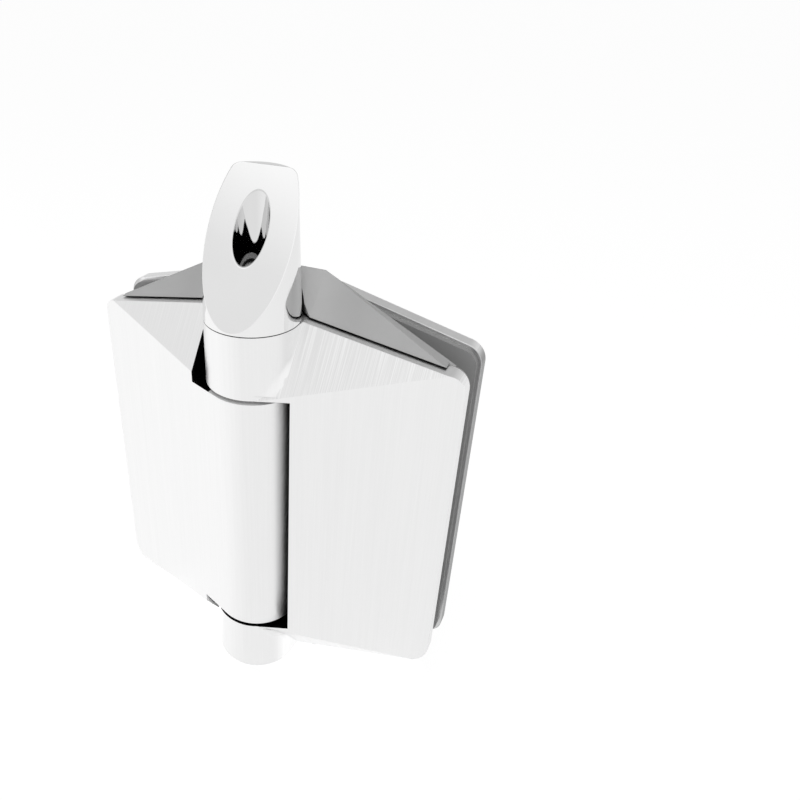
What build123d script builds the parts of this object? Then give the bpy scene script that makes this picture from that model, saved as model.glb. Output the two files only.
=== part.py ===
"""Self-closing glass-to-glass hinge: two cast leaves on one barrel, each clamping a glass panel.

Frame: Z up along the barrel, X to the fixed leaf, Y to the glass behind it. The origin is on the barrel's
axis at mid height. Sizes are millimetres and degrees.
"""
import os
from math import acos, atan2, cos, hypot, radians, sin, tan

from build123d import *

# Barrel
barrel_radius = 15.0
barrel_height = 138.0
knuckle_height = 21.0
knuckle_gap = 1.4
barrel_bore_radius = 11.0

# Leaves, as seen from the front
leaf_reach = 64.4
leaf_outer_height = 116.8
leaf_corner_radius = 6.0
shoulder_reach = 14.5
face_slope = 21.9
face_inner_height = 99.4
facet_root_depth = 3.5
facet_tip_margin = 4.8
leaf_inner_gap = 0.2
web_reach = 4.0
web_overlap = 1.0
fairing_steps = 4
fairing_sink = 0.1
leaf_gap_reach = 17.2
leaf_back = 14.0
leaf_wall = 3.0
barrel_clearance = 0.9
notch_clearance = 0.9

# Insert
pocket_clearance = 0.2
slab_thickness = 1.2
slab_margin = 0.4
ridge_height = 81.5
ridge_inner_reach = 4.3
ridge_outer_reach = 17.0
roof_front_depth = 6.8
roof_front_reach = 15.7
roof_end_margin = 7.1
roof_end_depth = 10.6
roof_tip_margin = 5.0
roof_root_reach = 3.0
roof_shadow_gap = 0.5
insert_barrel_clearance = 0.7

# Glass clamp
front_gasket_thickness = 1.0
front_gasket_margin = 2.0
glass_slot = 8.0
back_gasket_thickness = 1.8
back_gasket_margin = 1.3
plate_thickness = 5.0
plate_rise = 3.2
plate_outer_rise = 1.8
plate_overreach = 0.4
plate_inner_reach = 2.9
plate_shoulder_reach = 16.5
plate_corner_radius = 6.5
plate_inner_corner_radius = 1.0
plate_edge_chamfer = 0.6
gasket_inner_reach = 4.6

# Clamp screws and glass sleeves
screw_reach = 38.0
screw_spacing = 56.0
screw_radius = 4.0
screw_head_radius = 8.0
screw_head_land = 0.8
screw_recess_margin = 1.4
screw_recess_depth = 1.0
screw_hex = 5.0
screw_hex_depth = 3.0
screw_tip_depth = 5.0
boss_radius = 7.0
boss_clearance = 0.3
sleeve_radius = 8.0
sleeve_end_clearance = 0.1
gasket_hole_clearance = 1.5

# Fits
seat_clearance = 0.02
running_clearance = 0.05
end_clearance = 0.1

# Barrel internals
pivot_radius = 8.0
pivot_flange_radius = 10.0
pivot_flange_margin = 1.0
pivot_depth = 9.0
bush_length = 10.0
bush_flange_radius = 13.4
spindle_length = 17.0
cam_radius = 10.6
cam_rise = 20.6
cam_lift = 10.0
swing_angle = 90.0
cam_clearance = 0.2
piston_length = 20.0
piston_spigot_radius = 4.5
piston_spigot_height = 7.0
key_radius = 1.5
key_length = 17.0
key_drop = 1.0
key_clearance = 0.1
spring_wire_width = 2.6
spring_wire_height = 2.4
spring_radius = 9.0
spring_turns = 5
spring_links_per_turn = 12
spring_end_clearance = 0.5
pin_radius = 2.5
pin_drop = 10.5
pin_front_margin = 6.0
pin_back_margin = 1.2
plug_radius = 10.0
plug_thickness = 4.0

# Adjuster under the cap
adjuster_recess_radius = 12.5
adjuster_recess_depth = 7.0
adjuster_disc_thickness = 3.0
adjuster_edge_clearance = 0.3
adjuster_stem_radius = 6.0
adjuster_stem_length = 14.0
adjuster_boss_radius = 6.2
adjuster_boss_height = 1.0
adjuster_hex = 8.0
adjuster_hex_depth = 5.0

# Slanted cap
cap_height = 43.1
cap_taper = 2.3
cap_slant = 60.4
cap_lip = 0.8
cap_top_round = 1.8
cap_hole_radius = 5.4
cap_spigot_wall = 2.9
cap_spigot_depth = 2.6

# Worked-out places
leaf_inner_reach = barrel_radius + leaf_inner_gap
half_height = barrel_height / 2
outer_half = leaf_outer_height / 2
knuckle_low = half_height - knuckle_height
middle_half = knuckle_low - knuckle_gap
slab_back = leaf_back + slab_thickness
slot_front = slab_back + front_gasket_thickness
slot_back = slot_front + glass_slot
plate_front = slot_back + back_gasket_thickness
plate_back = plate_front + plate_thickness
recess_floor = half_height - adjuster_recess_depth
disc_top = recess_floor + adjuster_disc_thickness
bush_low = middle_half - bush_length
cam_middle = -middle_half + cam_rise
piston_top = cam_middle + piston_length
far = 4 * barrel_height


def front_depth(reach):
    """Y of the sloping front face at a distance from the barrel's axis."""
    slope = radians(face_slope)
    return (sin(slope) * reach - barrel_radius) / cos(slope)


def rim_height(reach):
    """Z of the leaf's sloping upper edge at a distance from the barrel's axis."""
    fall = (half_height - outer_half) / (leaf_reach - shoulder_reach)
    return half_height - fall * (reach - shoulder_reach)


def facing(point, normal):
    """A block that takes up all the space on the outer side of a plane."""
    block = Box(far, far, far, align=(Align.CENTER, Align.CENTER, Align.MIN))
    return Plane(origin=point, z_dir=normal) * block


def facing_three(first, second, third, outside, inset=0.0):
    """The block on the outer side of the plane through three points, moved inwards by an inset."""
    a, b, c = Vector(*first), Vector(*second), Vector(*third)
    normal = (b - a).cross(c - a).normalized()
    if normal.dot(Vector(*outside)) < 0:
        normal = normal * -1
    return facing(a - normal * inset, normal)


def upright_prism(sketch, near, back):
    """A front-view sketch drawn out along Y from one depth to another."""
    return extrude(Plane.XZ.offset(-back) * sketch, amount=back - near)


def both_ends(shape):
    """A shape and its mirror image below mid height."""
    return shape + mirror(shape, about=Plane.XY)


def block_between(low, high):
    """A box from its lowest to its highest corner."""
    size = [b - a for a, b in zip(low, high)]
    return Pos(*low) * Box(*size, align=(Align.MIN, Align.MIN, Align.MIN))


def rod(radius, low, high):
    """A cylinder on the barrel's axis between two heights."""
    return Pos(0, 0, low) * Cylinder(radius, high - low, align=(Align.CENTER, Align.CENTER, Align.MIN))


def tube(outer, inner, low, high):
    """A ring on the barrel's axis between two heights."""
    return rod(outer, low, high) - rod(inner, low - 1, high + 1)


def cross_rod(radius, reach, height, near, back):
    """A cylinder along Y between two depths."""
    return upright_prism(Pos(reach, height) * Circle(radius), near, back)


def screw_heights():
    """Heights of the two clamp screws of a leaf."""
    return (-screw_spacing / 2, screw_spacing / 2)


def leaf_outline(inner=0.0, inset=0.0):
    """Front view of a leaf, from an inner edge out to the rounded outer corners."""
    points = [
        (inner, -half_height),
        (shoulder_reach, -half_height),
        (leaf_reach, -outer_half),
        (leaf_reach, outer_half),
        (shoulder_reach, half_height),
        (inner, half_height),
    ]
    outline = make_face(Polyline(*points, close=True))
    corners = outline.vertices().sort_by(Axis.X)[-2:]
    outline = fillet(corners, leaf_corner_radius)
    if inset:
        outline = offset(outline, -inset, kind=Kind.INTERSECTION)
    return outline


def front_normal():
    """The way the sloping front face looks."""
    slope = radians(face_slope)
    return Vector(sin(slope), -cos(slope), 0)


def facet_corners():
    """Three points of the upper facet: on the rim at the barrel, low at the barrel and at the outer tip."""
    tip = leaf_reach - facet_tip_margin
    root = (shoulder_reach, facet_root_depth, half_height)
    inner = (leaf_inner_reach, front_depth(leaf_inner_reach), face_inner_height / 2)
    return root, inner, (tip, front_depth(tip), rim_height(tip))


def facet_depth(reach, height):
    """Y of the upper facet's plane at a distance from the barrel's axis and a height."""
    root, inner, outer = [Vector(*corner) for corner in facet_corners()]
    normal = (inner - root).cross(outer - root)
    return root.Y - (normal.X * (reach - root.X) + normal.Z * (height - root.Z)) / normal.Y


def leaf_form(inset=0.0):
    """The faceted body of a leaf, moved inwards by an inset on every face but the back."""
    form = upright_prism(leaf_outline(inset=inset), -2 * barrel_radius, leaf_back)
    front = front_normal()
    form -= facing(front * (barrel_radius - inset), front)
    form -= facing((0, 0, 0), (front.Y, -front.X, 0))
    return form - both_ends(facing_three(*facet_corners(), (0, -1, 1), inset))


def leaf_pocket():
    """The hollow in the back of a leaf that takes the insert."""
    edge = leaf_gap_reach + leaf_wall
    return leaf_form(leaf_wall) & block_between((edge, -far, -far), (far, far, far))


def insert_plug():
    """The part of the insert that fills the pocket."""
    edge = leaf_gap_reach + leaf_wall + pocket_clearance
    return leaf_form(leaf_wall + pocket_clearance) & block_between((edge, -far, -far), (far, far, far))


def screw_bosses():
    """Bosses in the pocket that the clamp screws turn into."""
    bosses = Part()
    for height in screw_heights():
        bosses += cross_rod(boss_radius, screw_reach, height, -barrel_radius, leaf_back)
    return bosses & leaf_form(leaf_wall / 2)


def screw_bores(radius, near, back):
    """Clearance for both clamp screws of a leaf."""
    bores = Part()
    for height in screw_heights():
        bores += cross_rod(radius, screw_reach, height, near, back)
    return bores


def hollowed(body):
    """A leaf with its pocket, bosses and tapped holes."""
    thread = screw_bores(screw_radius + running_clearance, screw_tip_depth - 1, leaf_back + 1)
    return body - leaf_pocket() + screw_bosses() - thread


def knuckle_fairing():
    """Fill between the upper knuckle and its facet, close to the barrel's tangent all the way up."""
    low = face_inner_height / 2
    sections = []
    for step in range(fairing_steps + 1):
        height = low + (half_height - low) * step / fairing_steps
        depth = facet_depth(leaf_inner_reach, height)
        turn = atan2(depth, leaf_inner_reach) - acos(barrel_radius / hypot(leaf_inner_reach, depth))
        touch = barrel_radius - fairing_sink
        tangent = (touch * cos(turn), touch * sin(turn))
        corners = [(barrel_bore_radius, 0), tangent, (leaf_inner_reach, depth + fairing_sink)]
        sections.append(Pos(0, 0, height) * make_face(Polyline(*corners, close=True)))
    return loft(sections, ruled=True)


def knuckle_web():
    """Web from the upper knuckle to its leaf, with the facet's plane and a fairing in front."""
    edge = leaf_inner_reach + web_overlap
    web = leaf_form() & block_between((web_reach, -far, knuckle_low), (edge, leaf_back, half_height))
    return web + knuckle_fairing()


def fixed_leaf():
    """Right leaf, cast in one with the upper and lower knuckles."""
    body = hollowed(leaf_form() & block_between((leaf_inner_reach, -far, -far), (far, far, far)))
    body += both_ends(knuckle_web() + rod(barrel_radius, knuckle_low, half_height))
    clear = rod(barrel_radius + barrel_clearance, -knuckle_low, knuckle_low)
    clear += block_between((-far, -far, -knuckle_low), (leaf_gap_reach, far, knuckle_low))
    body -= clear
    body -= rod(pivot_flange_radius, knuckle_low - 1, half_height)
    body -= rod(adjuster_recess_radius, recess_floor, half_height + 1)
    body -= rod(pivot_radius, -half_height - 1, -knuckle_low + 1)
    body -= rod(plug_radius, -half_height - 1, -half_height + plug_thickness)
    return body - spindle_pin(seat_clearance)


def gate_leaf():
    """Left leaf, cast in one with the middle knuckle, drawn on the right and mirrored."""
    body = leaf_form()
    notch = block_between((-far, -far, middle_half), (leaf_gap_reach, far, far))
    notch += rod(barrel_radius + notch_clearance, middle_half, far)
    body -= both_ends(notch)
    body = hollowed(body)
    body += rod(barrel_radius, -middle_half, middle_half)
    body -= rod(barrel_bore_radius, -middle_half - 1, middle_half + 1)
    return mirror(body, about=Plane.YZ) - piston_key(seat_clearance)


def roof():
    """The insert's faceted roof above the leaf's rim."""
    reach_end = leaf_reach - roof_end_margin
    reach_tip = leaf_reach - roof_tip_margin
    front = (roof_front_reach, roof_front_depth, half_height + roof_shadow_gap)
    inner = (ridge_inner_reach, slab_back, ridge_height)
    outer = (ridge_outer_reach, slab_back, ridge_height)
    end = (reach_end, roof_end_depth, rim_height(reach_end) + roof_shadow_gap)
    root = (roof_root_reach, slab_back, half_height + roof_shadow_gap)
    profile = Polyline(
        (roof_root_reach, half_height - leaf_wall),
        (roof_root_reach, half_height + roof_shadow_gap),
        (ridge_inner_reach, ridge_height),
        (ridge_outer_reach, ridge_height),
        (reach_tip, rim_height(reach_tip)),
        (reach_tip, rim_height(reach_tip) - leaf_corner_radius),
        close=True,
    )
    solid = upright_prism(make_face(profile), facet_root_depth, slab_back)
    solid -= facing_three(front, inner, outer, (0, -1, 1))
    solid -= facing_three(front, end, outer, (0, -1, 1))
    solid -= facing_three(front, inner, root, (-1, -1, 0))
    rim = offset(leaf_outline(), roof_shadow_gap, kind=Kind.INTERSECTION)
    return solid - upright_prism(rim, -far, leaf_back)


def insert():
    """Grey moulded insert: a plug in the pocket, a slab against the glass and two roofs."""
    slab = upright_prism(leaf_outline(roof_root_reach, slab_margin), leaf_back, slab_back)
    body = slab + insert_plug() + both_ends(roof())
    body -= rod(barrel_radius + insert_barrel_clearance, -far, far)
    body -= screw_bores(boss_radius + boss_clearance, -far, leaf_back)
    return body - screw_bores(screw_radius + boss_clearance, -far, far)


def front_gasket():
    """Soft sheet between the insert and the glass."""
    sheet = leaf_outline(gasket_inner_reach - front_gasket_margin, front_gasket_margin)
    sheet = upright_prism(sheet, slab_back, slot_front)
    return sheet - screw_bores(sleeve_radius + gasket_hole_clearance, slab_back - 1, slot_front + 1)


def plate_outline():
    """Front view of the clamp plate behind the glass."""
    top = half_height + plate_rise
    outer = leaf_reach + plate_overreach
    end = outer_half + plate_outer_rise
    points = [
        (plate_inner_reach, -top),
        (plate_shoulder_reach, -top),
        (outer, -end),
        (outer, end),
        (plate_shoulder_reach, top),
        (plate_inner_reach, top),
    ]
    outline = make_face(Polyline(*points, close=True))
    ends = outline.vertices().sort_by(Axis.X)
    outline = fillet(ends[-2:], plate_corner_radius)
    return fillet(outline.vertices().sort_by(Axis.X)[:2], plate_inner_corner_radius)


def back_gasket():
    """Soft sheet between the glass and the clamp plate."""
    sheet = upright_prism(offset(plate_outline(), -back_gasket_margin), slot_back, plate_front)
    return sheet - screw_bores(sleeve_radius + gasket_hole_clearance, slot_back - 1, plate_front + 1)


def countersink(height, grow=0.0):
    """The cone and land of a countersunk head, with its face on the plate's back."""
    land = plate_back - screw_head_land
    depth = screw_head_radius - screw_radius
    top_down = (Align.CENTER, Align.CENTER, Align.MAX)
    cone = Cone(screw_radius + grow, screw_head_radius + grow, depth, align=top_down)
    head = Plane(origin=(screw_reach, land, height), z_dir=(0, 1, 0)) * cone
    return head + cross_rod(screw_head_radius + grow, screw_reach, height, land, plate_back)


def back_plate():
    """Clamp plate with recessed countersunk holes and broken back edges."""
    plate = upright_prism(plate_outline(), plate_front, plate_back)
    rim = plate.faces().sort_by(Axis.Y)[-1].edges()
    plate = chamfer(rim, plate_edge_chamfer)
    recess_radius = screw_head_radius + screw_recess_margin
    plate -= screw_bores(recess_radius, plate_back - screw_recess_depth, plate_back)
    for height in screw_heights():
        plate -= countersink(height, seat_clearance)
    return plate - screw_bores(screw_radius + running_clearance, plate_front - 1, plate_back)


def clamp_screws():
    """Two countersunk socket screws that draw the plate to the leaf."""
    screws = Part()
    for height in screw_heights():
        screw = cross_rod(screw_radius, screw_reach, height, screw_tip_depth, plate_back - 1)
        screw += countersink(height)
        socket = Pos(screw_reach, height) * RegularPolygon(screw_hex / 2, 6, major_radius=False)
        screw -= upright_prism(socket, plate_back - screw_hex_depth, plate_back + 1)
        screws += screw
    return screws


def glass_sleeves():
    """Bushes that keep the screws off the glass."""
    sleeves = Part()
    near = slab_back + sleeve_end_clearance
    back = plate_front - sleeve_end_clearance
    for height in screw_heights():
        sleeve = cross_rod(sleeve_radius, screw_reach, height, near, back)
        bore = cross_rod(screw_radius + running_clearance, screw_reach, height, near - 1, back + 1)
        sleeves += sleeve - bore
    return sleeves


def slope_cap():
    """Tapered cap with a slanted front and a key hole down to the adjuster."""
    base = half_height
    top = base + cap_height
    top_radius = barrel_radius - cap_height * tan(radians(cap_taper))
    profile = Polyline((0, base), (barrel_radius, base), (top_radius, top), (0, top), close=True)
    cap = revolve(Plane.XZ * make_face(profile), Axis.Z)
    cap = fillet(cap.faces().sort_by(Axis.Z)[-1].edges(), cap_top_round)
    slant = Vector(0, -sin(radians(cap_slant)), cos(radians(cap_slant)))
    cap -= facing((0, -barrel_radius, base + cap_lip), slant)
    spigot_radius = adjuster_recess_radius - seat_clearance
    spigot = tube(spigot_radius, spigot_radius - cap_spigot_wall, base - cap_spigot_depth, base)
    cap += spigot
    return cap - rod(cap_hole_radius, base - cap_spigot_depth - 1, top + 1)


def top_pivot():
    """Stub shaft in the upper knuckle that the middle knuckle turns on."""
    low = middle_half - pivot_depth
    pivot = rod(pivot_radius, low, knuckle_low)
    top = recess_floor - pivot_flange_margin
    pivot += rod(pivot_flange_radius - seat_clearance, knuckle_low, top)
    return pivot - rod(adjuster_stem_radius + running_clearance, low - 1, top + 1)


def adjuster_screw():
    """Hex socket adjuster with a disc head, turned by a key through the cap."""
    radius = adjuster_recess_radius - adjuster_edge_clearance
    low = recess_floor + end_clearance
    boss_top = disc_top + adjuster_boss_height
    screw = rod(radius, low, disc_top) + rod(adjuster_boss_radius, disc_top, boss_top)
    screw += rod(adjuster_stem_radius, low - adjuster_stem_length, low)
    socket = RegularPolygon(adjuster_hex / 2, 6, major_radius=False)
    floor = boss_top - adjuster_hex_depth
    return screw - extrude(Pos(0, 0, floor) * socket, amount=adjuster_hex_depth + 1)


def bushes():
    """Flanged bearings in both ends of the middle knuckle, which also keep the knuckles apart."""
    bush = rod(barrel_bore_radius - seat_clearance, bush_low, middle_half)
    bush += rod(bush_flange_radius, middle_half, knuckle_low - end_clearance)
    return both_ends(bush - rod(pivot_radius + running_clearance, bush_low - 1, knuckle_low))


def cam_slope():
    """Rise of the slanted cam across its radius, so that the lift keeps ahead of the turn."""
    return cam_lift / radians(swing_angle) / cam_radius


def above_cam(rise):
    """All the space above the slanted cam plane, raised by a clearance."""
    return facing((0, 0, cam_middle + rise), (-cam_slope(), 0, 1))


def cam_spindle():
    """Lower shaft pinned in the lower knuckle, with a slant-cut cam on top."""
    low = -knuckle_low - spindle_length + end_clearance
    head_low = -middle_half + bush_length + end_clearance
    spindle = rod(pivot_radius - seat_clearance, low, head_low)
    spindle += rod(cam_radius, head_low, 0) - above_cam(0)
    return spindle - spindle_pin(seat_clearance)


def spindle_pin(grow=0.0):
    """Cross pin that keeps the spindle from turning."""
    near = -barrel_radius + pin_front_margin - grow
    back = barrel_radius - pin_back_margin + grow
    return cross_rod(pin_radius + grow, 0, -knuckle_low - pin_drop, near, back)


def bottom_plug():
    """Disc that closes the lower knuckle."""
    return rod(plug_radius - seat_clearance, -half_height, -half_height + plug_thickness - end_clearance)


def cam_piston():
    """Piston that climbs the cam as the gate opens."""
    radius = barrel_bore_radius - running_clearance
    piston = rod(radius, cam_middle - cam_radius, piston_top) & above_cam(cam_clearance)
    piston += rod(piston_spigot_radius, piston_top, piston_top + piston_spigot_height)
    return piston - piston_key(key_clearance, key_length)


def piston_key(grow=0.0, extra=0.0):
    """Round key along the bore that turns the piston with the gate."""
    high = piston_top - key_drop + grow
    low = high - key_length - 2 * grow
    return Pos(0, barrel_bore_radius, 0) * rod(key_radius + grow, low - extra, high + extra)


def closing_spring():
    """Compression spring between the piston and the upper bush, swept along straight links of a helix."""
    low = piston_top + spring_wire_height / 2 + spring_end_clearance
    height = bush_low - spring_wire_height / 2 - spring_end_clearance - low
    helix = Helix(height / spring_turns, height, spring_radius)
    links = spring_turns * spring_links_per_turn
    path = Polyline(*[helix @ (index / links) for index in range(links + 1)])
    start = Plane(origin=path @ 0, x_dir=(1, 0, 0), z_dir=path % 0)
    wire = start * Rectangle(spring_wire_width, spring_wire_height)
    return Pos(0, 0, low) * sweep(wire, path, transition=Transition.RIGHT)


def on_gate(shape):
    """A leaf piece moved to the gate side."""
    return mirror(shape, about=Plane.YZ)


def all_nodes():
    """Every piece by the name of its node."""
    clamp = {
        "insert": insert(),
        "front_gasket": front_gasket(),
        "back_gasket": back_gasket(),
        "back_plate": back_plate(),
        "clamp_screws": clamp_screws(),
        "glass_sleeves": glass_sleeves(),
    }
    nodes = {"fixed_leaf": fixed_leaf(), "gate_leaf": gate_leaf()}
    for name, shape in clamp.items():
        nodes["fixed_" + name] = shape
        nodes["gate_" + name] = on_gate(shape)
    nodes["slope_cap"] = slope_cap()
    nodes["top_pivot"] = top_pivot()
    nodes["adjuster_screw"] = adjuster_screw()
    nodes["bushes"] = bushes()
    nodes["cam_spindle"] = cam_spindle()
    nodes["spindle_pin"] = spindle_pin()
    nodes["bottom_plug"] = bottom_plug()
    nodes["cam_piston"] = cam_piston()
    nodes["piston_key"] = piston_key()
    nodes["closing_spring"] = closing_spring()
    return nodes


os.makedirs("parts", exist_ok=True)
for node, shape in all_nodes().items():
    export_step(shape, f"parts/{node}.step")
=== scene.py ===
"""Finishes of a self-closing hinge for glass panels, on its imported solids, with a plain studio."""
from math import cos, pi, radians, sin

import bmesh
import bpy
from bpy.props import FloatProperty, FloatVectorProperty, IntProperty, PointerProperty
from mathutils import Matrix, Vector


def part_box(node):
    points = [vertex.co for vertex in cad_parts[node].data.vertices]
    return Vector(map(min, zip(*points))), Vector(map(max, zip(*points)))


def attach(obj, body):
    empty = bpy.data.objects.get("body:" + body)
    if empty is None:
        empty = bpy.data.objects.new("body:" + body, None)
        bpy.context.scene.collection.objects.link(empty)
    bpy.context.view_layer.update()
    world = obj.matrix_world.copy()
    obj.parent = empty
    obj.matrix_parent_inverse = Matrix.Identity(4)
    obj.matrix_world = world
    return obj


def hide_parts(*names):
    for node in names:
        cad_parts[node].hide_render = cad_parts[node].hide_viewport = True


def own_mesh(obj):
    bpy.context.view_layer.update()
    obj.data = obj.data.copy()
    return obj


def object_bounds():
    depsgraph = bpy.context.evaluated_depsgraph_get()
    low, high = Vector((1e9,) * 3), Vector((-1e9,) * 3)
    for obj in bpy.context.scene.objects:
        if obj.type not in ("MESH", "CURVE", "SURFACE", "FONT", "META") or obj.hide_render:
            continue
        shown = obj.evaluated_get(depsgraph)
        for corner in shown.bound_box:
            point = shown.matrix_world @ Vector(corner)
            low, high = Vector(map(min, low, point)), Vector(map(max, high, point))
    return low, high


bl_info = {
    "name": "Glass hinge finishes",
    "version": (1, 0, 0),
    "blender": (4, 5, 0),
    "location": "View3D > Sidebar > Hinge",
    "description": "Brushed steel, mouldings, gaskets and a studio for a glass-to-glass hinge",
    "category": "Object",
}

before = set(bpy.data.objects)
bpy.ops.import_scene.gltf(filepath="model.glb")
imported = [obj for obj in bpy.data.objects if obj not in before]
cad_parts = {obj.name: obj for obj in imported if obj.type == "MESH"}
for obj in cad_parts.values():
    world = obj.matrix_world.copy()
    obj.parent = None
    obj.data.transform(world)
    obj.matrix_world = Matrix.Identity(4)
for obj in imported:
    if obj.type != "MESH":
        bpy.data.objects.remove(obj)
cad_low, cad_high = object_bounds()

# Places on the hinge, in metres, where its finishes and its painted light and shade change.
GAP_REACH = 0.01725  # from the barrel's axis to just past the leaf walls that face it
GAP_HEIGHT = 0.04805  # half the height of the fixed leaf's gap for the middle knuckle
NOTCH_FOOT = 0.04655  # foot of the gate leaf's upper notch
NOTCH_SIDE = -0.0093  # where the notch ends and the middle knuckle's end begins
FAR = 1.0  # past every piece
BORE_RADIUS = 0.0056  # just outside the cap's hole
SEAM_HEIGHT = 0.0693  # just above the cap's foot; below it the cap gets painted shade
INNER_ROOF = (0.008, 0.03)  # where the roofs get painted light towards the barrel
PLATE_MARGIN = (0.0598, 0.0622)  # where the painted shade on the outer margin of a plate begins
GAP_DEPTH = 0.012  # how far the steel looks for a gap to paint shade into
GROOVE_DEPTH = 0.006  # how far an insert looks for a groove to paint shade into

# Ways that a face looks, as parts of its normal.
UPRIGHT_SLOPE = 0.2  # upright walls lie below this
FACET_SLOPES = (0.5, 0.8)  # the leaves' facets lie between these
SIDE_FACING = (0.55, 1.0)  # from a plate's corner to its side, which gets painted shade
FRONT_FACING = -0.8  # fronts lie below this

# How light or dark a finish is, as shares of its colour or as plain greys.
STEEL_TONES = (0.93, 1.05)
STREAK_TONES = (0.9, 1.02)
POLISH_TONES = (0.97, 1.03)
MOULDING_TONES = (0.94, 1.06)
PAINTED_MARGIN_SHARE = 0.5  # how much of its side's painted shade a plate's margin takes
PAINTED_ROOF_LIGHT = 1.3  # how much painted light the roofs get by the barrel
# Painted shade, as plain greys: near black in gaps, grey on the middle knuckle's end in the notch, on the
# plates' sides, on the cap's upright sides and in its hole, near black at its foot.
PAINTED_GAP_SHADE = 0.004
PAINTED_KNUCKLE_END_SHADE = 0.55
PAINTED_PLATE_SIDE_SHADE = 0.26
PAINTED_CAP_SIDE_SHADE = 0.89
PAINTED_BORE_SHADE = 0.76
PAINTED_SEAM_SHADE = 0.03

# How the roughness strays, and how wide broken edges are beside the leaves' own.
STEEL_GLOSS = 0.1
MOULDING_GLOSS = 0.08
POLISH_GLOSS = (0.6, 1.4)
BORE_ROUGHNESS = 0.02
PLATE_EDGE = 2.0
CAP_EDGE = 1.6
GASKET_EDGE = 0.5

# Patterns: how fine they are, how much each shows, and ranges of their values with what these turn into.
FINE_LINES, BROAD_LINES, STREAK_LINES = 1.0, 0.13, 1.5
FINE_SHARE, BROAD_SHARE = 0.65, 0.35
STREAK_NOISE = ((0.4, 0.7), (-0.5, 0.5))
STREAK_MIDDLE = 0.5
STREAK_CONTRAST = ((-0.005, 0.005), (0.35, 1.0))  # across the barrel, from the gate leaf to the fixed one
GRAIN_CLOUDS = 60.0
PAINTED_SHADE_BY_OPENNESS = ((0.08, 0.22), (1.0, 0.0))  # how open a place is, and how much painted gap shade it then gets

# Levels that the steel sees in the room, and in the floor's painted glow: a range of places, and the levels
# at its ends.
ROOM_BEHIND = ((0.1, 0.5), (0.95, 0.52))  # by height
ROOM_FRONT = ((0.5, -0.3), (0.0, 1.0))  # from behind to the front
ROOM_LEFT = ((0.5, 0.66), (0.79, 1.03))  # by height
ROOM_FAR_LEFT = ((-0.68, -0.55), (1.08, 1.0))
ROOM_RIGHT = ((0.02, 0.22), (0.84, 1.0))
ROOM_ACROSS = ((-0.3, -0.1), (0.0, 1.0))  # from the left levels to the right ones
FLOOR_BEARING = ((-1.0, 0.1), (1.075, 0.94))  # painted glow, from the left to the right
FLOOR_TO_CAMERA = 1.06
UNDER_FRONT = ((-0.012, 0.0), (0.0, 0.27))  # painted pool of extra glow under the hinge, from its front
UNDER_BACK = ((0.024, 0.032), (1.0, 0.0))
UNDER_SIDE = ((0.055, 0.068), (1.0, 0.0))

SHADER_SAMPLES = 8  # rays of the painted gap shade and edge nodes
SHARP_ANGLE = radians(22)  # edges above this stay sharp
WELD_REACH = 2e-6  # points nearer than this are one
COIL_STEPS = 24  # points in a turn of the spring
SENSOR_WIDTH = 36.0  # of the camera, in millimetres
NEAREST = 0.01  # that the camera sees


def tint(name, description, default):
    """A colour that the user may change."""
    return FloatVectorProperty(
        name=name, description=description, default=default, subtype="COLOR", size=3, min=0.0, max=1.0
    )


def share(name, description, default):
    """A value from nothing to all."""
    return FloatProperty(
        name=name, description=description, default=default, min=0.0, max=1.0, subtype="FACTOR"
    )


def length(name, description, default):
    """A size in metres."""
    return FloatProperty(name=name, description=description, default=default, unit="LENGTH", precision=5)


def turn(name, description, default):
    """An angle in radians."""
    return FloatProperty(name=name, description=description, default=default, subtype="ANGLE")


class HingeFinishes(bpy.types.PropertyGroup):
    """Colours and surface values of the hinge's pieces."""

    steel: tint("Steel", "Colour of the brushed leaves and plates", (0.95, 0.95, 0.95))
    steel_roughness: share("Steel roughness", "Gloss of the brushed steel", 0.34)
    brush_lines: FloatProperty(
        name="Brush lines", description="Brush lines in a metre", default=1900.0, min=10.0
    )
    polish: tint("Polish", "Colour of the polished cap", (0.95, 0.95, 0.95))
    polish_roughness: share("Polish roughness", "Gloss of the polished cap", 0.07)
    moulding: tint("Moulding", "Colour of the grey inserts", (0.335, 0.335, 0.335))
    gasket: tint("Gasket", "Colour of the soft sheets on the glass", (0.24, 0.24, 0.24))
    nylon: tint("Nylon", "Colour of the sleeves in the glass", (0.8, 0.8, 0.78))
    bush: tint("Bush", "Colour of the bushes", (0.42, 0.42, 0.42))
    screw: tint("Screw", "Colour of the screws and inner works", (0.6, 0.6, 0.61))
    adjuster: tint("Adjuster", "Colour of the adjuster under the cap", (0.6, 0.6, 0.6))
    # Painted glow of the adjuster in the cap's hole.
    adjuster_painted_glow: share("Adjuster painted glow", "Light of the adjuster in the polished hole", 0.8)
    edge: length("Edge", "Width of the edges that look broken", 0.0003)


class HingeSpring(bpy.types.PropertyGroup):
    """Sizes of the closing spring's coil."""

    turns: IntProperty(name="Turns", description="Free turns of the coil", default=6, min=2)
    wire: length("Wire", "Radius of the spring wire", 0.0012)
    ground: share("Ground turns", "Length of the closed turn at each end, in turns", 0.8)
    keep: share("Squeezed length", "Share of the length that is left at the end of the stroke", 0.75)


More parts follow.
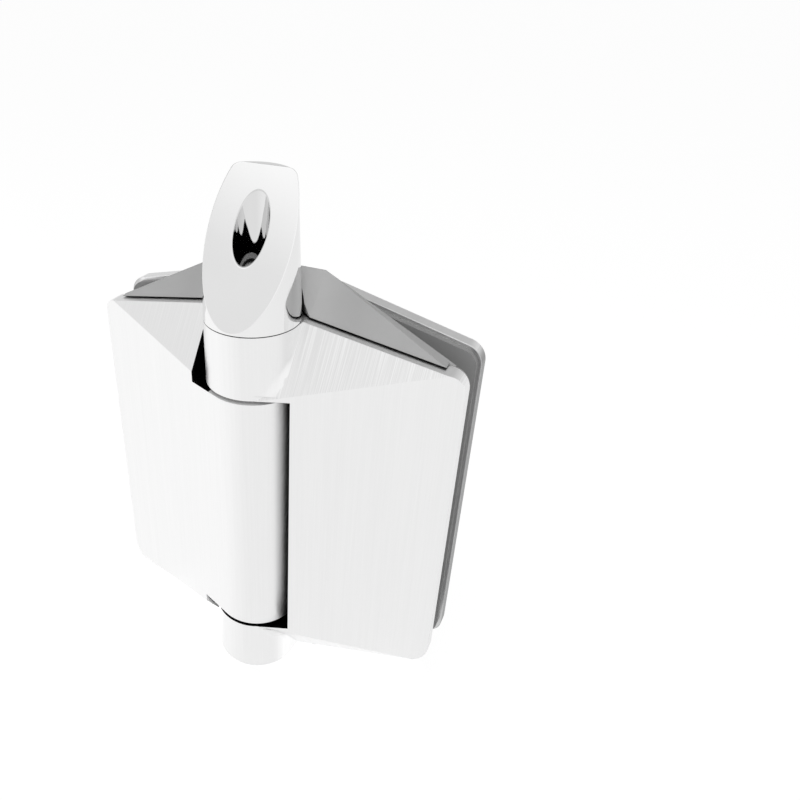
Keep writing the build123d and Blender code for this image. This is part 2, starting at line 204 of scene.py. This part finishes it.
class HingeStage(bpy.types.PropertyGroup):
    """Camera, lamps and floor."""

    camera: FloatVectorProperty(
        name="Camera",
        description="Place of the camera",
        default=(0.10016, -0.18019, 0.16438),
        subtype="TRANSLATION",
    )
    yaw: turn("Yaw", "Turn of the camera about Z", 0.4782)
    pitch: turn("Pitch", "Downward tilt", 0.5414)
    roll: turn("Roll", "Turn about the line of sight", -0.0036)
    lens: FloatProperty(name="Lens", description="Focal length in millimetres", default=33.68)
    shift: FloatVectorProperty(
        name="Shift", description="Shift of the picture", default=(0.159, -0.0033), size=2
    )
    floor: tint("Floor", "Colour of the floor", (0.9, 0.9, 0.9))
    floor_size: length("Floor size", "Side of the floor", 40.0)
    floor_glow: share("Floor glow", "Share of plain white that the camera sees on the floor", 0.85)
    key_power: FloatProperty(name="Key lamp", description="Power of the key lamp in watts", default=3.0)
    fill_power: FloatProperty(name="Fill lamp", description="Power of the fill lamp in watts", default=1.2)
    top_power: FloatProperty(name="Top lamp", description="Power of the top lamp in watts", default=1.8)
    room: FloatProperty(name="Room", description="Strength of the room's light", default=0.72)


def shader_group(name, inputs, outputs):
    """An empty node group with its value sockets, and the nodes at its two ends."""
    group = bpy.data.node_groups.new(name, "ShaderNodeTree")
    for label, default in inputs.items():
        socket = group.interface.new_socket(label, in_out="INPUT", socket_type="NodeSocketFloat")
        socket.default_value = default
    for label in outputs:
        group.interface.new_socket(label, in_out="OUTPUT", socket_type="NodeSocketFloat")
    return group, group.nodes.new("NodeGroupInput"), group.nodes.new("NodeGroupOutput")


def feed(tree, socket, value):
    """Links a socket to another one, or sets it to a plain value."""
    if isinstance(value, bpy.types.NodeSocket):
        tree.links.new(value, socket)
    else:
        socket.default_value = value


def calculate(tree, operation, *values):
    """A math node, with each value a socket or a number."""
    node = tree.nodes.new("ShaderNodeMath")
    node.operation = operation
    for index, value in enumerate(values):
        feed(tree, node.inputs[index], value)
    return node.outputs[0]


def product(tree, first, *others):
    """Values multiplied together, such as masks that must all hold."""
    for other in others:
        first = calculate(tree, "MULTIPLY", first, other)
    return first


def spread(tree, value, low, high):
    """A value from nothing to one, mapped to a range."""
    node = tree.nodes.new("ShaderNodeMapRange")
    tree.links.new(value, node.inputs["Value"])
    node.inputs["To Min"].default_value = low
    node.inputs["To Max"].default_value = high
    return node.outputs["Result"]


def eased(tree, value, source, target):
    """A value mapped smoothly from one range to another."""
    node = tree.nodes.new("ShaderNodeMapRange")
    node.interpolation_type = "SMOOTHSTEP"
    node.inputs["From Min"].default_value, node.inputs["From Max"].default_value = source
    node.inputs["To Min"].default_value, node.inputs["To Max"].default_value = target
    tree.links.new(value, node.inputs["Value"])
    return node.outputs["Result"]


def between(tree, share_socket, first, second):
    """A value that goes from the first to the second with a share, each a socket or a number."""
    node = tree.nodes.new("ShaderNodeMix")
    tree.links.new(share_socket, node.inputs["Factor"])
    feed(tree, node.inputs["A"], first)
    feed(tree, node.inputs["B"], second)
    return node.outputs["Result"]


def axes(tree, vector):
    """The X, Y and Z of a vector, as sockets by name."""
    split = tree.nodes.new("ShaderNodeSeparateXYZ")
    tree.links.new(vector, split.inputs[0])
    return split.outputs


def noise(tree, vector, scale, detail=2.0, roughness=0.5):
    """A noise pattern, with its scale a socket or a number."""
    node = tree.nodes.new("ShaderNodeTexNoise")
    node.inputs["Detail"].default_value = detail
    node.inputs["Roughness"].default_value = roughness
    feed(tree, node.inputs["Scale"], scale)
    tree.links.new(vector, node.inputs["Vector"])
    return node.outputs["Fac"]


def brushing_group():
    """Fine brush lines, streaks down the sloping facets, and a mask of where the plates' sides and outer
    margins get painted shade.
    """
    group, start, end = shader_group(
        "brush_lines", {"Lines": 1900.0, "Along": 25.0}, ("Tone", "Height", "Facet", "Streak", "Side")
    )
    links = group.links
    place = group.nodes.new("ShaderNodeTexCoord")
    spot = axes(group, place.outputs["Object"])
    facing = axes(group, place.outputs["Normal"])

    # Lines run upright on walls. On slopes they don't change with depth, so they run down the slope.
    slope = calculate(group, "ABSOLUTE", facing["Z"])
    sloping = calculate(group, "GREATER_THAN", slope, UPRIGHT_SLOPE)
    upright = calculate(group, "SUBTRACT", 1.0, sloping)
    join = group.nodes.new("ShaderNodeCombineXYZ")
    links.new(product(group, spot["X"], start.outputs["Lines"]), join.inputs["X"])
    links.new(product(group, spot["Y"], start.outputs["Lines"], upright), join.inputs["Y"])
    links.new(product(group, spot["Z"], start.outputs["Along"]), join.inputs["Z"])
    brushed = join.outputs[0]
    fine = noise(group, brushed, FINE_LINES, detail=3.0, roughness=0.65)
    broad = noise(group, brushed, BROAD_LINES)
    tone = calculate(group, "ADD", product(group, fine, FINE_SHARE), product(group, broad, BROAD_SHARE))
    links.new(tone, end.inputs["Tone"])
    links.new(fine, end.inputs["Height"])

    streaks = eased(group, noise(group, brushed, STREAK_LINES), *STREAK_NOISE)
    contrast = eased(group, spot["X"], *STREAK_CONTRAST)
    links.new(calculate(group, "MULTIPLY_ADD", streaks, contrast, STREAK_MIDDLE), end.inputs["Streak"])
    steep, level = FACET_SLOPES
    facet = product(
        group, calculate(group, "GREATER_THAN", slope, steep), calculate(group, "LESS_THAN", slope, level)
    )
    links.new(facet, end.inputs["Facet"])

    # Painted shade on the plates' sides and on the outer margin of their fronts.
    side = eased(group, calculate(group, "ABSOLUTE", facing["X"]), SIDE_FACING, (0.0, 1.0))
    outer = eased(group, calculate(group, "ABSOLUTE", spot["X"]), PLATE_MARGIN, (0.0, PAINTED_MARGIN_SHARE))
    margin = product(group, calculate(group, "LESS_THAN", facing["Y"], FRONT_FACING), outer)
    links.new(calculate(group, "MAXIMUM", side, margin), end.inputs["Side"])
    return group


def grain_group():
    """Fine even grain of a moulding or a rubber sheet, and a mask of where the roofs get painted light near
    the barrel.
    """
    group, start, end = shader_group("moulded_grain", {"Grains": 2500.0}, ("Tone", "Height", "Inner"))
    place = group.nodes.new("ShaderNodeTexCoord")
    group.links.new(noise(group, place.outputs["Object"], GRAIN_CLOUDS), end.inputs["Tone"])
    fine = noise(group, place.outputs["Object"], start.outputs["Grains"])
    group.links.new(fine, end.inputs["Height"])
    reach = calculate(group, "ABSOLUTE", axes(group, place.outputs["Object"])["X"])
    group.links.new(eased(group, reach, INNER_ROOF, (1.0, 0.0)), end.inputs["Inner"])
    return group


def painted_crevice_shade_group():
    """A mask of painted shade from occlusion: one in narrow gaps and nothing on open faces."""
    group, start, end = shader_group("painted_crevice_shade", {"Depth": GAP_DEPTH}, ("Mask",))
    shade = group.nodes.new("ShaderNodeAmbientOcclusion")
    shade.samples = SHADER_SAMPLES
    group.links.new(start.outputs["Depth"], shade.inputs["Distance"])
    group.links.new(eased(group, shade.outputs["AO"], *PAINTED_SHADE_BY_OPENNESS), end.inputs["Mask"])
    return group


def painted_gap_walls_group():
    """Masks of where the leaf walls that face the barrel get painted shade: near black ones, and the
    knuckle's end in the open gap.
    """
    group, start, end = shader_group(
        "painted_gap_walls",
        {"Reach": GAP_REACH, "Low": -GAP_HEIGHT, "High": GAP_HEIGHT, "Open": FAR},
        ("Dark", "End"),
    )
    place = group.nodes.new("ShaderNodeTexCoord")
    spot = axes(group, place.outputs["Object"])
    near = calculate(group, "LESS_THAN", calculate(group, "ABSOLUTE", spot["X"]), start.outputs["Reach"])
    above = calculate(group, "GREATER_THAN", spot["Z"], start.outputs["Low"])
    below = calculate(group, "LESS_THAN", spot["Z"], start.outputs["High"])
    wall = product(group, near, above, below)
    front = product(group, wall, calculate(group, "GREATER_THAN", spot["X"], start.outputs["Open"]))
    group.links.new(calculate(group, "SUBTRACT", wall, front), end.inputs["Dark"])
    group.links.new(front, end.inputs["End"])
    return group


def bore_group():
    """Masks of the cap: the wall of its hole, which gets painted shade and a lower roughness, and the seam
    at its foot and its upright sides, which get painted shade.
    """
    group, start, end = shader_group(
        "cap_bore", {"Radius": BORE_RADIUS, "Seam": SEAM_HEIGHT}, ("Bore", "Seam", "Upright")
    )
    place = group.nodes.new("ShaderNodeTexCoord")
    spot = axes(group, place.outputs["Object"])
    squares = [product(group, spot[axis], spot[axis]) for axis in "XY"]
    radius = calculate(group, "SQRT", calculate(group, "ADD", *squares))
    group.links.new(calculate(group, "LESS_THAN", radius, start.outputs["Radius"]), end.inputs["Bore"])
    group.links.new(calculate(group, "LESS_THAN", spot["Z"], start.outputs["Seam"]), end.inputs["Seam"])
    slope = calculate(group, "ABSOLUTE", axes(group, place.outputs["Normal"])["Z"])
    group.links.new(calculate(group, "LESS_THAN", slope, UPRIGHT_SLOPE), end.inputs["Upright"])
    return group


def shared_group(name, build):
    """A node group by name, built on its first use."""
    return bpy.data.node_groups.get(name) or build()


def place_group(tree, group, **values):
    """A group node in a material, with its own values."""
    node = tree.nodes.new("ShaderNodeGroup")
    node.node_tree = group
    for label, value in values.items():
        node.inputs[label].default_value = value
    return node.outputs


def new_material(name, colour, metallic):
    """A material with its principled shader."""
    material = bpy.data.materials.new(name)
    material.use_nodes = True
    material.diffuse_color = (*colour, 1.0)
    shader = material.node_tree.nodes["Principled BSDF"]
    shader.inputs["Metallic"].default_value = metallic
    return material, material.node_tree, shader


def blended(tree, mask, first, second):
    """The first colour, or the second where the mask is one, each a socket or a colour."""
    mix = tree.nodes.new("ShaderNodeMix")
    mix.data_type = "RGBA"
    tree.links.new(mask, mix.inputs["Factor"])
    feed(tree, mix.inputs["A"], first)
    feed(tree, mix.inputs["B"], second)
    return mix.outputs["Result"]


def shaded_colour(tree, tone, colour, tones):
    """A colour made darker and lighter by a tone, as a socket."""
    ends = [(*[min(1.0, channel * share_of) for channel in colour], 1.0) for share_of in tones]
    return blended(tree, tone, *ends)


def paint_shade(tree, colour, mask, shade):
    """A colour with painted shade: it goes to a grey where the mask is one."""
    return blended(tree, mask, colour, (shade, shade, shade, 1.0))


def rounded_edges(tree, width):
    """Normals that turn over the edges as if they were broken, as a socket."""
    bevel = tree.nodes.new("ShaderNodeBevel")
    bevel.samples = SHADER_SAMPLES
    bevel.inputs["Radius"].default_value = width
    return bevel.outputs["Normal"]


def bump_from(tree, shader, height, strength, distance, edge):
    """A fine relief on the shader, over rounded edges."""
    bump = tree.nodes.new("ShaderNodeBump")
    bump.inputs["Strength"].default_value = strength
    bump.inputs["Distance"].default_value = distance
    tree.links.new(height, bump.inputs["Height"])
    tree.links.new(rounded_edges(tree, edge), bump.inputs["Normal"])
    tree.links.new(bump.outputs["Normal"], shader.inputs["Normal"])


def brushed_steel(name, colour, lines, edge, roughness, painted_gap_shade, walls=None, painted_side_shade=None):
    """Steel brushed in fine lines, with painted shade in its gaps and on the walls and sides that it is told
    of.
    """
    material, tree, shader = new_material(name, colour, 1.0)
    brush = place_group(tree, shared_group("brush_lines", brushing_group), Lines=lines)
    gaps = place_group(tree, shared_group("painted_crevice_shade", painted_crevice_shade_group))
    base = shaded_colour(tree, brush["Tone"], colour, STEEL_TONES)
    streaked = shaded_colour(tree, brush["Streak"], colour, STREAK_TONES)
    colours = blended(tree, brush["Facet"], base, streaked)
    # Painted shade on the sides that it is told of.
    if painted_side_shade is not None:
        colours = paint_shade(tree, colours, brush["Side"], painted_side_shade)
    # Painted shade in narrow gaps.
    colours = paint_shade(tree, colours, gaps["Mask"], painted_gap_shade)
    if walls is not None:
        # The walls get near black painted shade only as the camera sees them, and stay plain steel in
        # reflections, so that the barrel beside them isn't dark too. The knuckle's end in the open gap gets
        # a matt grey painted shade.
        wall = place_group(tree, shared_group("painted_gap_walls", painted_gap_walls_group), **walls)
        path = tree.nodes.new("ShaderNodeLightPath")
        dark = product(tree, wall["Dark"], path.outputs["Is Camera Ray"])
        colours = paint_shade(tree, colours, dark, painted_gap_shade)
        colours = paint_shade(tree, colours, wall["End"], PAINTED_KNUCKLE_END_SHADE)
        tree.links.new(calculate(tree, "SUBTRACT", 1.0, wall["End"]), shader.inputs["Metallic"])
    tree.links.new(colours, shader.inputs["Base Color"])
    gloss = spread(tree, brush["Tone"], roughness - STEEL_GLOSS, roughness + STEEL_GLOSS)
    tree.links.new(gloss, shader.inputs["Roughness"])
    bump_from(tree, shader, brush["Height"], strength=0.06, distance=0.0002, edge=edge)
    return material


def polished_steel(name, colour, edge, roughness):
    """Bright polished steel with a faint uneven gloss, with painted shade in the cap's hole, at its foot and
    on its upright sides.
    """
    material, tree, shader = new_material(name, colour, 1.0)
    grain = place_group(tree, shared_group("moulded_grain", grain_group), Grains=900.0)
    masks = place_group(tree, shared_group("cap_bore", bore_group))
    colours = shaded_colour(tree, grain["Tone"], colour, POLISH_TONES)
    # Painted shade on the cap's upright sides, in its hole and at its foot.
    colours = paint_shade(tree, colours, masks["Upright"], PAINTED_CAP_SIDE_SHADE)
    colours = paint_shade(tree, colours, masks["Bore"], PAINTED_BORE_SHADE)
    tree.links.new(paint_shade(tree, colours, masks["Seam"], PAINTED_SEAM_SHADE), shader.inputs["Base Color"])
    gloss = spread(tree, grain["Tone"], *[roughness * stray for stray in POLISH_GLOSS])
    tree.links.new(between(tree, masks["Bore"], gloss, BORE_ROUGHNESS), shader.inputs["Roughness"])
    tree.links.new(rounded_edges(tree, edge), shader.inputs["Normal"])
    return material


def moulded(name, colour, edge, roughness, grains, relief, painted_roof_light_and_shade=False):
    """Matt moulded plastic or rubber with a fine grain. Roofs get painted light by the barrel and painted
    shade in their grooves.
    """
    material, tree, shader = new_material(name, colour, 0.0)
    grain = place_group(tree, shared_group("moulded_grain", grain_group), Grains=grains)
    colours = shaded_colour(tree, grain["Tone"], colour, MOULDING_TONES)
    if painted_roof_light_and_shade:
        # Painted light on the roofs near the barrel, and painted shade in their grooves.
        painted_lit = shaded_colour(tree, grain["Tone"], colour, [tone * PAINTED_ROOF_LIGHT for tone in MOULDING_TONES])
        colours = blended(tree, grain["Inner"], colours, painted_lit)
        grooves = place_group(tree, shared_group("painted_crevice_shade", painted_crevice_shade_group), Depth=GROOVE_DEPTH)
        colours = paint_shade(tree, colours, grooves["Mask"], PAINTED_GAP_SHADE)
    tree.links.new(colours, shader.inputs["Base Color"])
    gloss = spread(tree, grain["Height"], roughness - MOULDING_GLOSS, roughness + MOULDING_GLOSS)
    tree.links.new(gloss, shader.inputs["Roughness"])
    bump_from(tree, shader, grain["Height"], strength=relief, distance=0.0001, edge=edge)
    return material


def adjuster_steel(name, colour, light, edge):
    """Plain steel at the foot of the cap's hole, with a painted glow that shows in reflections, in place of
    the light that reaches it by way of the polished hole.
    """
    material = moulded(name, colour, edge, roughness=0.4, grains=2200.0, relief=0.1)
    tree = material.node_tree
    shader = tree.nodes["Principled BSDF"]
    path = tree.nodes.new("ShaderNodeLightPath")
    # Painted glow, seen only in reflections.
    painted_glow = blended(tree, path.outputs["Is Glossy Ray"], (0.0, 0.0, 0.0, 1.0), (*colour, 1.0))
    tree.links.new(painted_glow, shader.inputs["Emission Color"])
    shader.inputs["Emission Strength"].default_value = light
    return material


def gentle_shading_group():
    """A geometry group that shades smoothly across gentle edges only."""
    group = bpy.data.node_groups.new("gentle_shading", "GeometryNodeTree")
    for way in ("INPUT", "OUTPUT"):
        group.interface.new_socket("Geometry", in_out=way, socket_type="NodeSocketGeometry")
    start = group.nodes.new("NodeGroupInput")
    end = group.nodes.new("NodeGroupOutput")
    faces = group.nodes.new("GeometryNodeSetShadeSmooth")
    faces.domain = "FACE"
    edges = group.nodes.new("GeometryNodeSetShadeSmooth")
    edges.domain = "EDGE"
    edges.inputs["Shade Smooth"].default_value = False
    angle = group.nodes.new("GeometryNodeInputMeshEdgeAngle")
    sharp = group.nodes.new("FunctionNodeCompare")
    sharp.operation = "GREATER_THAN"
    sharp.inputs["B"].default_value = SHARP_ANGLE
    group.links.new(start.outputs[0], faces.inputs["Geometry"])
    group.links.new(faces.outputs[0], edges.inputs["Geometry"])
    group.links.new(angle.outputs["Unsigned Angle"], sharp.inputs["A"])
    group.links.new(sharp.outputs["Result"], edges.inputs["Selection"])
    group.links.new(edges.outputs[0], end.inputs[0])
    return group


def finish_nodes(names, material):
    """Gives CAD nodes a finish and smooth shading."""
    for name in names:
        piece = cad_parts[name]
        piece.data.materials.clear()
        piece.data.materials.append(material)
        weld = piece.modifiers.new("weld", "WELD")
        weld.merge_threshold = WELD_REACH
        shading = piece.modifiers.new("gentle_shading", "NODES")
        shading.node_group = shared_group("gentle_shading", gentle_shading_group)
        level = piece.modifiers.new("level_flats", "WEIGHTED_NORMAL")
        level.keep_sharp = True


def both_sides(name):
    """The nodes of a piece that both leaves have."""
    return ["fixed_" + name, "gate_" + name]


class HINGE_OT_leaves(bpy.types.Operator):
    """Brush the leaves and the clamp plates"""

    bl_idname = "hinge.leaves"
    bl_label = "Leaves and plates"

    def execute(self, context):
        look = context.scene.hinge_finishes
        steel = {"roughness": look.steel_roughness, "painted_gap_shade": PAINTED_GAP_SHADE}
        brushed = (look.steel, look.brush_lines)
        # Where the leaf walls get painted shade: round the fixed leaf's gap for the middle knuckle, and in
        # the gate leaf's upper notch.
        gap = {"Low": -GAP_HEIGHT, "High": GAP_HEIGHT}
        fixed = brushed_steel("fixed_leaf_steel", *brushed, look.edge, **steel, walls=gap)
        finish_nodes(["fixed_leaf"], fixed)
        notch = {"Low": NOTCH_FOOT, "High": FAR, "Open": NOTCH_SIDE}
        gate = brushed_steel("gate_leaf_steel", *brushed, look.edge, **steel, walls=notch)
        finish_nodes(["gate_leaf"], gate)
        edge = look.edge * PLATE_EDGE
        plate = brushed_steel("plate_steel", *brushed, edge, **steel, painted_side_shade=PAINTED_PLATE_SIDE_SHADE)
        finish_nodes(both_sides("back_plate"), plate)
        return {"FINISHED"}


class HINGE_OT_cap(bpy.types.Operator):
    """Polish the slanted cap"""

    bl_idname = "hinge.cap"
    bl_label = "Cap"

    def execute(self, context):
        look = context.scene.hinge_finishes
        edge = look.edge * CAP_EDGE
        polish = polished_steel("polished_steel", look.polish, edge, look.polish_roughness)
        finish_nodes(["slope_cap"], polish)
        return {"FINISHED"}


class HINGE_OT_inserts(bpy.types.Operator):
    """Give the grey inserts their moulded finish"""

    bl_idname = "hinge.inserts"
    bl_label = "Inserts"

    def execute(self, context):
        look = context.scene.hinge_finishes
        moulding = moulded(
            "grey_moulding", look.moulding, look.edge, roughness=0.5, grains=2500.0, relief=0.15, painted_roof_light_and_shade=True
        )
        finish_nodes(both_sides("insert"), moulding)
        return {"FINISHED"}


class HINGE_OT_gaskets(bpy.types.Operator):
    """Give the soft sheets on the glass their rubber finish"""

    bl_idname = "hinge.gaskets"
    bl_label = "Gaskets"

    def execute(self, context):
        look = context.scene.hinge_finishes
        edge = look.edge * GASKET_EDGE
        rubber = moulded("gasket_rubber", look.gasket, edge, roughness=0.75, grains=1600.0, relief=0.3)
        finish_nodes(both_sides("front_gasket") + both_sides("back_gasket"), rubber)
        return {"FINISHED"}


class HINGE_OT_fixings(bpy.types.Operator):
    """Finish the clamp screws, sleeves and adjuster"""

    bl_idname = "hinge.fixings"
    bl_label = "Screws, sleeves and adjuster"

    def execute(self, context):
        look = context.scene.hinge_finishes
        steel = brushed_steel(
            "screw_steel", look.screw, look.brush_lines, look.edge, roughness=0.3, painted_gap_shade=0.02
        )
        finish_nodes(both_sides("clamp_screws"), steel)
        adjuster = adjuster_steel("adjuster_steel", look.adjuster, look.adjuster_painted_glow, look.edge)
        finish_nodes(["adjuster_screw"], adjuster)
        nylon = moulded("white_nylon", look.nylon, look.edge, roughness=0.5, grains=1800.0, relief=0.1)
        finish_nodes(both_sides("glass_sleeves"), nylon)
        return {"FINISHED"}


class HINGE_OT_inner_works(bpy.types.Operator):
    """Finish the pieces inside the barrel"""

    bl_idname = "hinge.inner_works"
    bl_label = "Inner works"

    def execute(self, context):
        look = context.scene.hinge_finishes
        steel = brushed_steel(
            "turned_steel", look.screw, look.brush_lines, look.edge, roughness=0.28, painted_gap_shade=0.05
        )
        turned = ["top_pivot", "cam_spindle", "spindle_pin", "bottom_plug", "cam_piston", "piston_key"]
        finish_nodes(turned, steel)
        bush = moulded("grey_bush", look.bush, look.edge, roughness=0.4, grains=2200.0, relief=0.2)
        finish_nodes(["bushes"], bush)
        return {"FINISHED"}


def coil_points(low, high, radius, turns, ground):
    """Points along a coil with closed turns at both ends."""
    steps = int((turns + 2 * ground) * COIL_STEPS)
    points = []
    for step in range(steps + 1):
        turned = step / COIL_STEPS
        climb = min(max((turned - ground) / turns, 0.0), 1.0)
        angle = 2 * pi * turned
        points.append((radius * cos(angle), radius * sin(angle), low + (high - low) * climb))
    return points


class HINGE_OT_spring(bpy.types.Operator):
    """Wind the closing spring in the barrel"""

    bl_idname = "hinge.spring"
    bl_label = "Closing spring"

    def execute(self, context):
        look, size = context.scene.hinge_finishes, context.scene.hinge_spring
        low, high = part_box("closing_spring")
        radius = high.x - size.wire
        curve = bpy.data.curves.new("closing_spring_coil", "CURVE")
        curve.dimensions = "3D"
        curve.bevel_depth = size.wire
        curve.bevel_resolution = 3
        curve.use_fill_caps = True
        points = coil_points(low.z + size.wire, high.z - size.wire, radius, size.turns, size.ground)
        line = curve.splines.new("POLY")
        line.points.add(len(points) - 1)
        for point, place in zip(line.points, points):
            point.co = (*place, 1.0)
        guide = bpy.data.objects.new("coil_guide", curve)
        context.collection.objects.link(guide)
        mesh = bpy.data.meshes.new_from_object(guide.evaluated_get(context.evaluated_depsgraph_get()))
        bpy.data.objects.remove(guide)
        for face in mesh.polygons:
            face.use_smooth = True
        coil = bpy.data.objects.new("closing_spring_coil", mesh)
        context.collection.objects.link(coil)
        steel = brushed_steel(
            "spring_steel", look.screw, look.brush_lines, look.edge, roughness=0.35, painted_gap_shade=0.05
        )
        mesh.materials.clear()
        mesh.materials.append(steel)
        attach(coil, "gate")
        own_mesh(coil)
        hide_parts("closing_spring")
        return {"FINISHED"}


def seen_plainly(tree, path):
    """One on the rays that show a background: from the camera, off gloss and through glass."""
    direct = calculate(tree, "MAXIMUM", path.outputs["Is Camera Ray"], path.outputs["Is Glossy Ray"])
    return calculate(tree, "MAXIMUM", direct, path.outputs["Is Transmission Ray"])


def floor_material(look):
    """A pale floor that the camera sees as near white, with a faint shadow, and a painted glow for the
    metal's reflections that is brighter on the left and under the hinge.
    """
    material, tree, shader = new_material("pale_floor", look.floor, 0.0)
    shader.inputs["Base Color"].default_value = (*look.floor, 1.0)
    shader.inputs["Roughness"].default_value = 0.9
    place = tree.nodes.new("ShaderNodeTexCoord")
    path = tree.nodes.new("ShaderNodeLightPath")

    # Painted glow for the metal's reflections: brighter to the left and in a pool under the hinge.
    bearing = tree.nodes.new("ShaderNodeVectorMath")
    bearing.operation = "NORMALIZE"
    tree.links.new(place.outputs["Object"], bearing.inputs[0])
    painted_falloff = eased(tree, axes(tree, bearing.outputs[0])["X"], *FLOOR_BEARING)

    spot = axes(tree, place.outputs["Object"])
    under = product(
        tree,
        eased(tree, spot["Y"], *UNDER_FRONT),
        eased(tree, spot["Y"], *UNDER_BACK),
        eased(tree, calculate(tree, "ABSOLUTE", spot["X"]), *UNDER_SIDE),
    )
    painted_reflection = product(tree, painted_falloff, calculate(tree, "ADD", under, 1.0))
    seen = product(tree, path.outputs["Is Camera Ray"], FLOOR_TO_CAMERA)
    glow = tree.nodes.new("ShaderNodeEmission")
    tree.links.new(calculate(tree, "MAXIMUM", painted_reflection, seen), glow.inputs["Strength"])

    mix = tree.nodes.new("ShaderNodeMixShader")
    tree.links.new(product(tree, seen_plainly(tree, path), look.floor_glow), mix.inputs["Fac"])
    tree.links.new(shader.outputs[0], mix.inputs[1])
    tree.links.new(glow.outputs[0], mix.inputs[2])
    tree.links.new(mix.outputs[0], tree.nodes["Material Output"].inputs["Surface"])
    return material


def room_light(world, strength):
    """A bright room, white to the camera, paler in front than behind for the metal."""
    world.use_nodes = True
    tree = world.node_tree
    back = tree.nodes["Background"]
    back.inputs["Color"].default_value = (1.0, 1.0, 1.0, 1.0)
    place = tree.nodes.new("ShaderNodeTexCoord")
    path = tree.nodes.new("ShaderNodeLightPath")
    way = axes(tree, place.outputs["Generated"])
    depth = between(tree, eased(tree, way["Y"], *ROOM_FRONT), eased(tree, way["Z"], *ROOM_BEHIND), 1.0)
    left = product(tree, eased(tree, way["Z"], *ROOM_LEFT), eased(tree, way["X"], *ROOM_FAR_LEFT))
    right = eased(tree, way["X"], *ROOM_RIGHT)
    sideways = between(tree, eased(tree, way["X"], *ROOM_ACROSS), left, right)
    shaded = calculate(tree, "MAXIMUM", product(tree, depth, sideways), path.outputs["Is Camera Ray"])
    level = between(tree, seen_plainly(tree, path), strength, 1.0)
    tree.links.new(product(tree, shaded, level), back.inputs["Strength"])


def soft_lamp(name, place, size, power):
    """A square lamp turned to the hinge."""
    data = bpy.data.lights.new(name, "AREA")
    data.size = size
    data.energy = power
    lamp = bpy.data.objects.new(name, data)
    lamp.location = place
    lamp.rotation_euler = (-Vector(place)).to_track_quat("-Z", "Y").to_euler()
    lamp.visible_glossy = False
    bpy.context.collection.objects.link(lamp)


class HINGE_OT_stage(bpy.types.Operator):
    """Set the floor, lamps, room and camera"""

    bl_idname = "hinge.stage"
    bl_label = "Stage"

    def execute(self, context):
        scene, look = context.scene, context.scene.hinge_stage
        mesh = bpy.data.meshes.new("floor")
        shape = bmesh.new()
        bmesh.ops.create_grid(shape, x_segments=1, y_segments=1, size=look.floor_size / 2)
        shape.to_mesh(mesh)
        shape.free()
        floor = bpy.data.objects.new("floor", mesh)
        floor.location.z = cad_low.z
        mesh.materials.append(floor_material(look))
        scene.collection.objects.link(floor)
        scene.world = scene.world or bpy.data.worlds.new("room")
        room_light(scene.world, look.room)
        soft_lamp("key_lamp", place=(0.45, -0.65, 0.7), size=0.6, power=look.key_power)
        soft_lamp("fill_lamp", place=(-0.6, -0.45, 0.5), size=0.6, power=look.fill_power)
        soft_lamp("top_lamp", place=(0.12, -0.35, 0.9), size=0.5, power=look.top_power)
        data = bpy.data.cameras.new("camera")
        data.lens = look.lens
        data.sensor_width = SENSOR_WIDTH
        data.shift_x, data.shift_y = look.shift
        data.clip_start = NEAREST
        camera = bpy.data.objects.new("camera", data)
        aim = Matrix.Rotation(look.yaw, 4, "Z") @ Matrix.Rotation(pi / 2 - look.pitch, 4, "X")
        camera.matrix_world = Matrix.Translation(look.camera) @ aim @ Matrix.Rotation(look.roll, 4, "Z")
        scene.collection.objects.link(camera)
        scene.camera = camera
        scene.view_settings.view_transform = "Standard"
        return {"FINISHED"}


class HINGE_PT_finishes(bpy.types.Panel):
    """Lists the hinge's operators and values"""

    bl_label = "Hinge"
    bl_idname = "HINGE_PT_finishes"
    bl_space_type = "VIEW_3D"
    bl_region_type = "UI"
    bl_category = "Hinge"

    def draw(self, context):
        for operator in OPERATORS:
            self.layout.operator(operator.bl_idname)
        for group in (context.scene.hinge_finishes, context.scene.hinge_spring, context.scene.hinge_stage):
            for name in group.__annotations__:
                self.layout.prop(group, name)


GROUPS = (HingeFinishes, HingeSpring, HingeStage)
OPERATORS = (
    HINGE_OT_leaves,
    HINGE_OT_cap,
    HINGE_OT_inserts,
    HINGE_OT_gaskets,
    HINGE_OT_fixings,
    HINGE_OT_inner_works,
    HINGE_OT_spring,
    HINGE_OT_stage,
)


def register():
    """Adds the classes and their values."""
    for kind in (*GROUPS, *OPERATORS, HINGE_PT_finishes):
        bpy.utils.register_class(kind)
    bpy.types.Scene.hinge_finishes = PointerProperty(type=HingeFinishes)
    bpy.types.Scene.hinge_spring = PointerProperty(type=HingeSpring)
    bpy.types.Scene.hinge_stage = PointerProperty(type=HingeStage)


def unregister():
    """Takes the classes and their values away."""
    for name in ("hinge_finishes", "hinge_spring", "hinge_stage"):
        delattr(bpy.types.Scene, name)
    for kind in reversed((*GROUPS, *OPERATORS, HINGE_PT_finishes)):
        bpy.utils.unregister_class(kind)


def main():
    """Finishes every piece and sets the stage."""
    register()
    bpy.ops.hinge.leaves()
    bpy.ops.hinge.cap()
    bpy.ops.hinge.inserts()
    bpy.ops.hinge.gaskets()
    bpy.ops.hinge.fixings()
    bpy.ops.hinge.inner_works()
    bpy.ops.hinge.spring()
    bpy.ops.hinge.stage()


if __name__ == "__main__":
    main()
